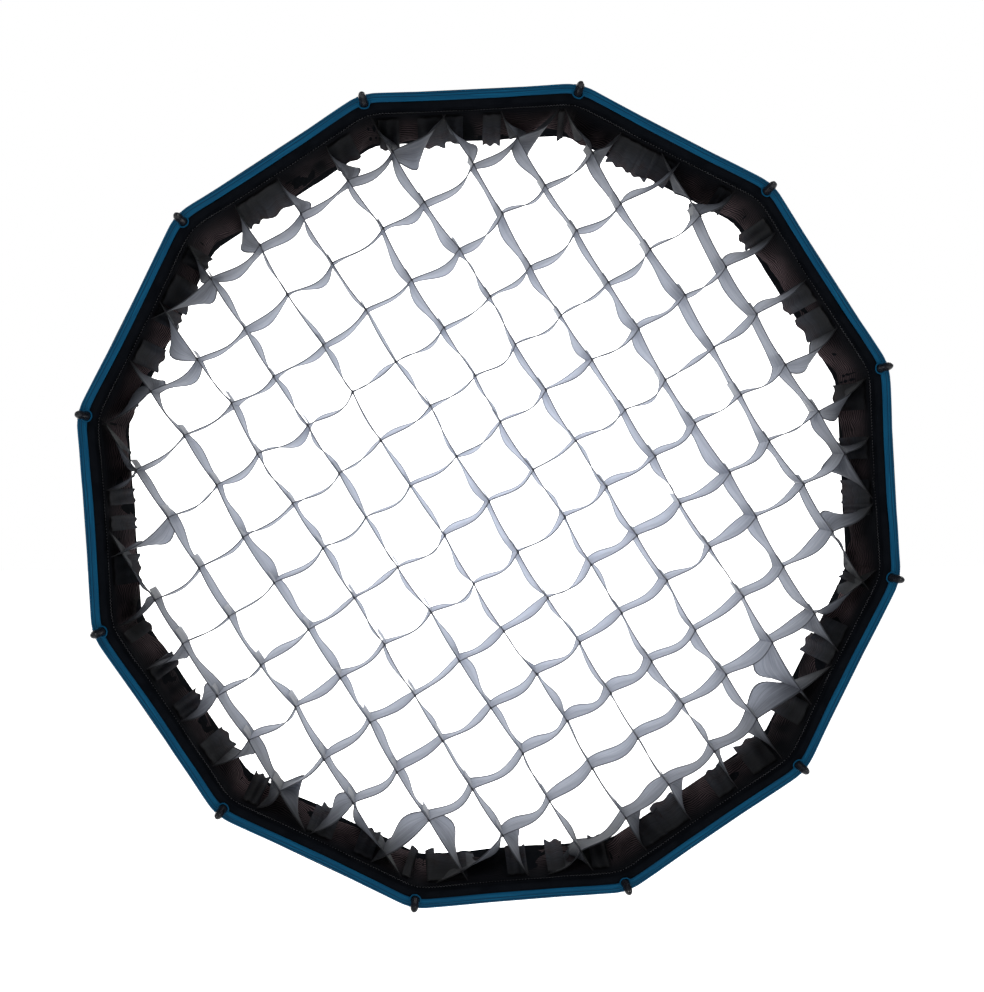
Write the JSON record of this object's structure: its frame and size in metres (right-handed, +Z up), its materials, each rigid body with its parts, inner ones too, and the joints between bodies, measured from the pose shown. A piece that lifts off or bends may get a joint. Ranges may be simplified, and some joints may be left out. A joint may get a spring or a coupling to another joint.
{
  "type": "softbox",
  "caption": "Folding many-sided softbox with hinged rods, a cloth shell, recessed front diffuser, fabric grid, inner baffle and a bayonet hub.",
  "frame": {"origin": "centre of the insert's seating face, on the box's axis", "axes": "+Y points back into the light head, so the box opens towards -Y; +Z is up as pictured, +X to the right seen from the front"},
  "size_m": [0.8968, 0.4268, 0.8968],
  "materials": {
    "insert_metal": "satin machined",
    "spring_steel": "brushed",
    "hub_plastic": "fine moulded grain",
    "socket_plastic": "fine moulded grain",
    "anodised_metal": "anodised satin",
    "rod_steel": "black coated",
    "tip_plastic": "polished",
    "shell_cloth": "plain woven, silver lined",
    "diffuser_cloth": "thin translucent weave",
    "baffle_cloth": "thin translucent weave",
    "grid_cloth": "plain woven ribbon"
  },
  "bodies": {
    "insert": {"bayonet_insert": "insert_metal", "insert_circlip": "spring_steel"},
    "hub": {"hub_base": "hub_plastic", "hub_rear_cover": "hub_plastic", "latch_spring": "spring_steel", "latch_stop_ring": "anodised_metal"},
    "latch": {"latch_ring": "anodised_metal"},
    "knob": {"lock_knob": "hub_plastic"},
    "rod_body_01": {"rod_socket_01": "socket_plastic", "rod_01": "rod_steel", "rod_tip_01": "tip_plastic", "shell_gore_01": "shell_cloth"},
    "rod_body_02": {"rod_socket_02": "socket_plastic", "rod_02": "rod_steel", "rod_tip_02": "tip_plastic", "shell_gore_02": "shell_cloth"},
    "rod_body_03": {"rod_socket_03": "socket_plastic", "rod_03": "rod_steel", "rod_tip_03": "tip_plastic", "shell_gore_03": "shell_cloth"},
    "rod_body_04": {"rod_socket_04": "socket_plastic", "rod_04": "rod_steel", "rod_tip_04": "tip_plastic", "shell_gore_04": "shell_cloth"},
    "rod_body_05": {"rod_socket_05": "socket_plastic", "rod_05": "rod_steel", "rod_tip_05": "tip_plastic", "shell_gore_05": "shell_cloth"},
    "rod_body_06": {"rod_socket_06": "socket_plastic", "rod_06": "rod_steel", "rod_tip_06": "tip_plastic", "shell_gore_06": "shell_cloth"},
    "rod_body_07": {"rod_socket_07": "socket_plastic", "rod_07": "rod_steel", "rod_tip_07": "tip_plastic", "shell_gore_07": "shell_cloth"},
    "rod_body_08": {"rod_socket_08": "socket_plastic", "rod_08": "rod_steel", "rod_tip_08": "tip_plastic", "shell_gore_08": "shell_cloth"},
    "rod_body_09": {"rod_socket_09": "socket_plastic", "rod_09": "rod_steel", "rod_tip_09": "tip_plastic", "shell_gore_09": "shell_cloth"},
    "rod_body_10": {"rod_socket_10": "socket_plastic", "rod_10": "rod_steel", "rod_tip_10": "tip_plastic", "shell_gore_10": "shell_cloth"},
    "rod_body_11": {"rod_socket_11": "socket_plastic", "rod_11": "rod_steel", "rod_tip_11": "tip_plastic", "shell_gore_11": "shell_cloth"},
    "rod_body_12": {"rod_socket_12": "socket_plastic", "rod_12": "rod_steel", "rod_tip_12": "tip_plastic", "shell_gore_12": "shell_cloth"},
    "diffuser": {"front_diffuser": "diffuser_cloth"},
    "baffle": {"inner_baffle": "baffle_cloth"},
    "grid": {"grid_band": "grid_cloth", "grid_strips": "grid_cloth"}
  },
  "joints": [
    {"name": "hub_turn", "type": "hinge", "parent": "insert", "child": "hub", "pos_m": [0, 0, 0], "axis": [0, 1, 0], "continuous": true},
    {"name": "latch_pull", "type": "slide", "parent": "hub", "child": "latch", "axis": [0, -1, 0], "range_m": [0, 0.005], "stiffness_N_per_m": 600, "deforming": ["latch_spring"]},
    {"name": "knob_turn", "type": "hinge", "parent": "hub", "child": "knob", "pos_m": [0.00599, -0.0135, -0.09631], "axis": [0.0621, 0, -0.9981], "range_deg": [0, 270]},
    {"name": "fold_01", "type": "hinge", "parent": "hub", "child": "rod_body_01", "pos_m": [0.01587, -0.018, 0.07841], "axis": [0.9801, 0, -0.1983], "range_deg": [0, 42], "deforming": ["shell_gore_01", "shell_gore_02", "shell_gore_03", "shell_gore_04", "shell_gore_05", "shell_gore_06", "shell_gore_07", "shell_gore_08", "shell_gore_09", "shell_gore_10", "shell_gore_11", "shell_gore_12", "front_diffuser", "inner_baffle", "grid_band", "grid_strips"]},
    {"name": "fold_02", "type": "hinge", "parent": "hub", "child": "rod_body_02", "pos_m": [0.05295, -0.018, 0.05997], "axis": [0.7496, 0, -0.6618], "range_deg": [0, 42]},
    {"name": "fold_03", "type": "hinge", "parent": "hub", "child": "rod_body_03", "pos_m": [0.07584, -0.018, 0.02546], "axis": [0.3183, 0, -0.948], "range_deg": [0, 42]},
    {"name": "fold_04", "type": "hinge", "parent": "hub", "child": "rod_body_04", "pos_m": [0.07841, -0.018, -0.01587], "axis": [-0.1983, 0, -0.9801], "range_deg": [0, 42]},
    {"name": "fold_05", "type": "hinge", "parent": "hub", "child": "rod_body_05", "pos_m": [0.05997, -0.018, -0.05295], "axis": [-0.6618, 0, -0.7496], "range_deg": [0, 42]},
    {"name": "fold_06", "type": "hinge", "parent": "hub", "child": "rod_body_06", "pos_m": [0.02546, -0.018, -0.07584], "axis": [-0.948, 0, -0.3183], "range_deg": [0, 42]},
    {"name": "fold_07", "type": "hinge", "parent": "hub", "child": "rod_body_07", "pos_m": [-0.01587, -0.018, -0.07841], "axis": [-0.9801, 0, 0.1983], "range_deg": [0, 42]},
    {"name": "fold_08", "type": "hinge", "parent": "hub", "child": "rod_body_08", "pos_m": [-0.05295, -0.018, -0.05997], "axis": [-0.7496, 0, 0.6618], "range_deg": [0, 42]},
    {"name": "fold_09", "type": "hinge", "parent": "hub", "child": "rod_body_09", "pos_m": [-0.07584, -0.018, -0.02546], "axis": [-0.3183, 0, 0.948], "range_deg": [0, 42]},
    {"name": "fold_10", "type": "hinge", "parent": "hub", "child": "rod_body_10", "pos_m": [-0.07841, -0.018, 0.01587], "axis": [0.1983, 0, 0.9801], "range_deg": [0, 42]},
    {"name": "fold_11", "type": "hinge", "parent": "hub", "child": "rod_body_11", "pos_m": [-0.05997, -0.018, 0.05295], "axis": [0.6618, 0, 0.7496], "range_deg": [0, 42]},
    {"name": "fold_12", "type": "hinge", "parent": "hub", "child": "rod_body_12", "pos_m": [-0.02546, -0.018, 0.07584], "axis": [0.948, 0, 0.3183], "range_deg": [0, 42]},
    {"name": "diffuser_lift_off", "type": "slide", "parent": "hub", "child": "diffuser", "axis": [0, -1, 0], "range_m": [0, 0.2605]},
    {"name": "baffle_lift_off", "type": "slide", "parent": "hub", "child": "baffle", "axis": [0, -1, 0], "range_m": [0, 0.4005]},
    {"name": "grid_lift_off", "type": "slide", "parent": "diffuser", "child": "grid", "axis": [0, -1, 0], "range_m": [0, 0.1]}
  ],
  "couplings": [
    {"joint": "fold_02", "follows": "fold_01", "ratio": 1},
    {"joint": "fold_03", "follows": "fold_01", "ratio": 1},
    {"joint": "fold_04", "follows": "fold_01", "ratio": 1},
    {"joint": "fold_05", "follows": "fold_01", "ratio": 1},
    {"joint": "fold_06", "follows": "fold_01", "ratio": 1},
    {"joint": "fold_07", "follows": "fold_01", "ratio": 1},
    {"joint": "fold_08", "follows": "fold_01", "ratio": 1},
    {"joint": "fold_09", "follows": "fold_01", "ratio": 1},
    {"joint": "fold_10", "follows": "fold_01", "ratio": 1},
    {"joint": "fold_11", "follows": "fold_01", "ratio": 1},
    {"joint": "fold_12", "follows": "fold_01", "ratio": 1},
    {"joint": "diffuser_lift_off", "follows": "fold_01", "m_per_rad": 0.35469},
    {"joint": "baffle_lift_off", "follows": "fold_01", "m_per_rad": 0.54567}
  ]
}
